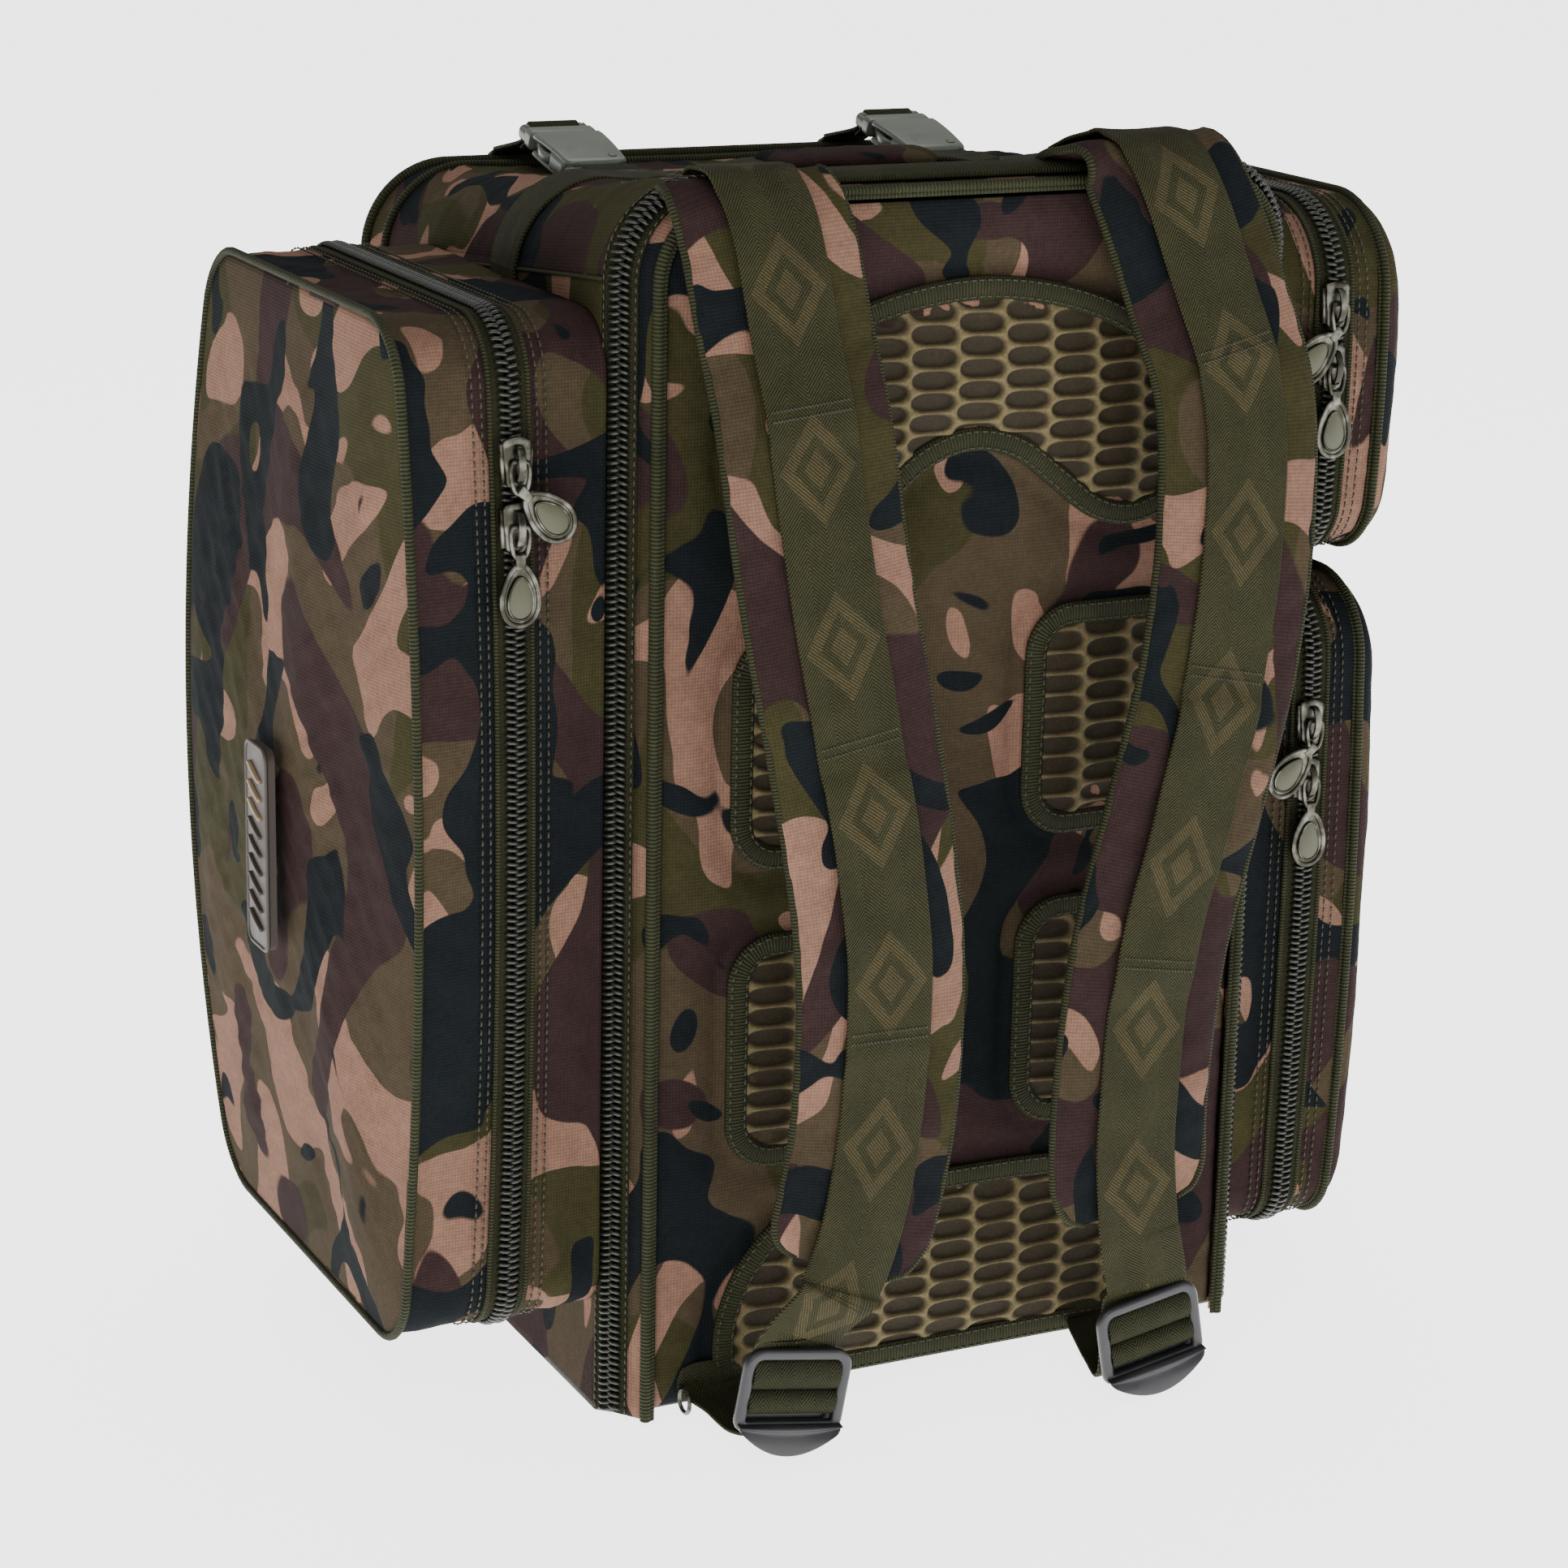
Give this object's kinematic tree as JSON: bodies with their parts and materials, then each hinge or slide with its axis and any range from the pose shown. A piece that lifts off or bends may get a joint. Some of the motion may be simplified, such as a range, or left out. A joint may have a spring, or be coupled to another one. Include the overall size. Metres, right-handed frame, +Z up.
{
  "type": "tackle backpack",
  "caption": "Boxy camouflage fishing rucksack with side and front zip pockets, a fold-down mesh back panel, padded shoulder straps and a top grab handle.",
  "frame": {"origin": "middle of the flat base of the body, where the rucksack stands", "axes": "+Z up, +Y from the wearer's back to the front pocket, X across the back with the tall pocket at -X"},
  "size_m": [0.5125, 0.4238, 0.5683],
  "materials": {
    "camo_shell": "matte woven",
    "camo_base": "matte coated",
    "olive_binding": "ribbed tape",
    "olive_webbing": "herringbone webbing",
    "air_mesh": "open knit",
    "zip_chain": "nylon coil",
    "buckle_plastic": "moulded satin",
    "lock_plastic": "moulded satin",
    "gunmetal": "plated zinc",
    "badge_rubber": "moulded soft rubber"
  },
  "bodies": {
    "pack_body": {"base_panel": "camo_base", "left_side_wall": "camo_shell", "right_side_wall": "camo_shell", "front_wall": "camo_shell", "top_panel": "camo_shell", "front_piping": "olive_binding", "main_zip": "zip_chain", "left_pocket_gusset": "camo_shell", "upper_right_gusset": "camo_shell", "lower_right_gusset": "camo_shell", "front_pocket_gusset": "camo_shell", "left_pocket_zip": "zip_chain", "upper_right_zip": "zip_chain", "lower_right_zip": "zip_chain", "front_pocket_zip": "zip_chain", "left_buckle_socket": "buckle_plastic", "right_buckle_socket": "buckle_plastic", "top_strap_webbing": "olive_webbing", "handle_anchor_webbing": "olive_webbing"},
    "back_flap": {"back_panel": "camo_shell", "back_panel_piping": "olive_binding", "back_mesh_pads": "air_mesh", "mesh_bindings": "olive_binding", "left_shoulder_pad": "camo_shell", "right_shoulder_pad": "camo_shell", "left_shoulder_webbing": "olive_webbing", "right_shoulder_webbing": "olive_webbing", "lower_strap_webbing": "olive_webbing", "lower_strap_anchors": "olive_webbing"},
    "left_lock": {"left_ladder_lock": "lock_plastic"},
    "right_lock": {"right_ladder_lock": "lock_plastic"},
    "left_clip": {"left_buckle_clip": "buckle_plastic"},
    "right_clip": {"right_buckle_clip": "buckle_plastic"},
    "handle": {"grab_handle": "camo_shell"},
    "left_cover": {"left_pocket_cover": "camo_shell", "left_cover_piping": "olive_binding", "pocket_badge": "badge_rubber"},
    "upper_cover": {"upper_right_cover": "camo_shell", "upper_right_piping": "olive_binding"},
    "lower_cover": {"lower_right_cover": "camo_shell", "lower_right_piping": "olive_binding"},
    "front_cover": {"front_pocket_cover": "camo_shell", "front_cover_piping": "olive_binding"},
    "left_slider_a": {"left_slider_a": "gunmetal"},
    "left_puller_a": {"left_puller_a": "gunmetal"},
    "left_slider_b": {"left_slider_b": "gunmetal"},
    "left_puller_b": {"left_puller_b": "gunmetal"},
    "upper_slider_a": {"upper_slider_a": "gunmetal"},
    "upper_puller_a": {"upper_puller_a": "gunmetal"},
    "upper_slider_b": {"upper_slider_b": "gunmetal"},
    "upper_puller_b": {"upper_puller_b": "gunmetal"},
    "lower_slider_a": {"lower_slider_a": "gunmetal"},
    "lower_puller_a": {"lower_puller_a": "gunmetal"},
    "lower_slider_b": {"lower_slider_b": "gunmetal"},
    "lower_puller_b": {"lower_puller_b": "gunmetal"},
    "main_slider": {"main_slider": "gunmetal"},
    "main_puller": {"main_puller": "gunmetal"},
    "front_slider": {"front_slider": "gunmetal"},
    "front_puller": {"front_puller": "gunmetal"}
  },
  "joints": [
    {"name": "back_panel_fold", "type": "hinge", "parent": "pack_body", "child": "back_flap", "pos_m": [0, -0.147, 0.004], "axis": [1, 0, 0], "range_deg": [0, 80]},
    {"name": "left_pocket_open", "type": "hinge", "parent": "pack_body", "child": "left_cover", "pos_m": [-0.20725, 0.094, 0], "axis": [0, 0, -1], "range_deg": [0, 110]},
    {"name": "upper_pocket_open", "type": "hinge", "parent": "pack_body", "child": "upper_cover", "pos_m": [0.19325, 0.102, 0], "axis": [0, 0, 1], "range_deg": [0, 110]},
    {"name": "lower_pocket_open", "type": "hinge", "parent": "pack_body", "child": "lower_cover", "pos_m": [0.19325, 0.102, 0], "axis": [0, 0, 1], "range_deg": [0, 110]},
    {"name": "front_pocket_open", "type": "hinge", "parent": "pack_body", "child": "front_cover", "pos_m": [0, 0.17375, 0.036], "axis": [-1, 0, 0], "range_deg": [0, 80]},
    {"name": "left_lock_tilt", "type": "hinge", "parent": "back_flap", "child": "left_lock", "pos_m": [-0.104, -0.213, 0.048], "axis": [-1, 0, 0], "range_deg": [0, 35]},
    {"name": "right_lock_tilt", "type": "hinge", "parent": "back_flap", "child": "right_lock", "pos_m": [0.069, -0.215, 0.044], "axis": [-1, 0, 0], "range_deg": [0, 35]},
    {"name": "left_buckle_release", "type": "slide", "parent": "pack_body", "child": "left_clip", "axis": [0, 0.9703, 0.2419], "range_m": [0, 0.022]},
    {"name": "right_buckle_release", "type": "slide", "parent": "pack_body", "child": "right_clip", "axis": [0, 0.9703, 0.2419], "range_m": [0, 0.022]},
    {"name": "handle_swing", "type": "hinge", "parent": "pack_body", "child": "handle", "pos_m": [0, -0.025, 0.54169], "axis": [1, 0, 0], "range_deg": [-12, 12]},
    {"name": "left_zip_run_a", "type": "slide", "parent": "pack_body", "child": "left_slider_a", "axis": [0, 0, 1], "range_m": [0, 0.022]},
    {"name": "left_pull_swing_a", "type": "hinge", "parent": "left_slider_a", "child": "left_puller_a", "pos_m": [-0.207, -0.1442, 0.436], "axis": [-1, 0, 0], "range_deg": [0, 100]},
    {"name": "left_zip_run_b", "type": "slide", "parent": "pack_body", "child": "left_slider_b", "axis": [0, 0, 1], "range_m": [-0.32, 0]},
    {"name": "left_pull_swing_b", "type": "hinge", "parent": "left_slider_b", "child": "left_puller_b", "pos_m": [-0.207, -0.1442, 0.409], "axis": [-1, 0, 0], "range_deg": [0, 100]},
    {"name": "upper_zip_run_a", "type": "slide", "parent": "pack_body", "child": "upper_slider_a", "axis": [0, 0, 1], "range_m": [0, 0.001]},
    {"name": "upper_pull_swing_a", "type": "hinge", "parent": "upper_slider_a", "child": "upper_puller_a", "pos_m": [0.193, -0.1362, 0.478], "axis": [-1, 0, 0], "range_deg": [0, 100]},
    {"name": "upper_zip_run_b", "type": "slide", "parent": "pack_body", "child": "upper_slider_b", "axis": [0, 0, 1], "range_m": [-0.048, 0]},
    {"name": "upper_pull_swing_b", "type": "hinge", "parent": "upper_slider_b", "child": "upper_puller_b", "pos_m": [0.193, -0.1362, 0.45], "axis": [-1, 0, 0], "range_deg": [0, 100]},
    {"name": "lower_zip_run_a", "type": "slide", "parent": "pack_body", "child": "lower_slider_a", "axis": [0, 0, 1], "range_m": [0, 0.016]},
    {"name": "lower_pull_swing_a", "type": "hinge", "parent": "lower_slider_a", "child": "lower_puller_a", "pos_m": [0.193, -0.1362, 0.284], "axis": [-1, 0, 0], "range_deg": [0, 100]},
    {"name": "lower_zip_run_b", "type": "slide", "parent": "pack_body", "child": "lower_slider_b", "axis": [0, 0, 1], "range_m": [-0.188, 0]},
    {"name": "lower_pull_swing_b", "type": "hinge", "parent": "lower_slider_b", "child": "lower_puller_b", "pos_m": [0.193, -0.1362, 0.256], "axis": [-1, 0, 0], "range_deg": [0, 100]},
    {"name": "main_zip_run", "type": "slide", "parent": "back_flap", "child": "main_slider", "axis": [0, 0, 1], "range_m": [-0.3, 0.1]},
    {"name": "main_pull_swing", "type": "hinge", "parent": "main_slider", "child": "main_puller", "pos_m": [0.16235, -0.14439, 0.372], "axis": [-0.6157, -0.788, 0], "range_deg": [0, 100]},
    {"name": "front_zip_run", "type": "slide", "parent": "pack_body", "child": "front_slider", "axis": [1, 0, 0], "range_m": [-0.14, 0.02]},
    {"name": "front_pull_swing", "type": "hinge", "parent": "front_slider", "child": "front_puller", "pos_m": [0.06, 0.1735, 0.4612], "axis": [0, 1, 0], "range_deg": [0, 100]}
  ]
}
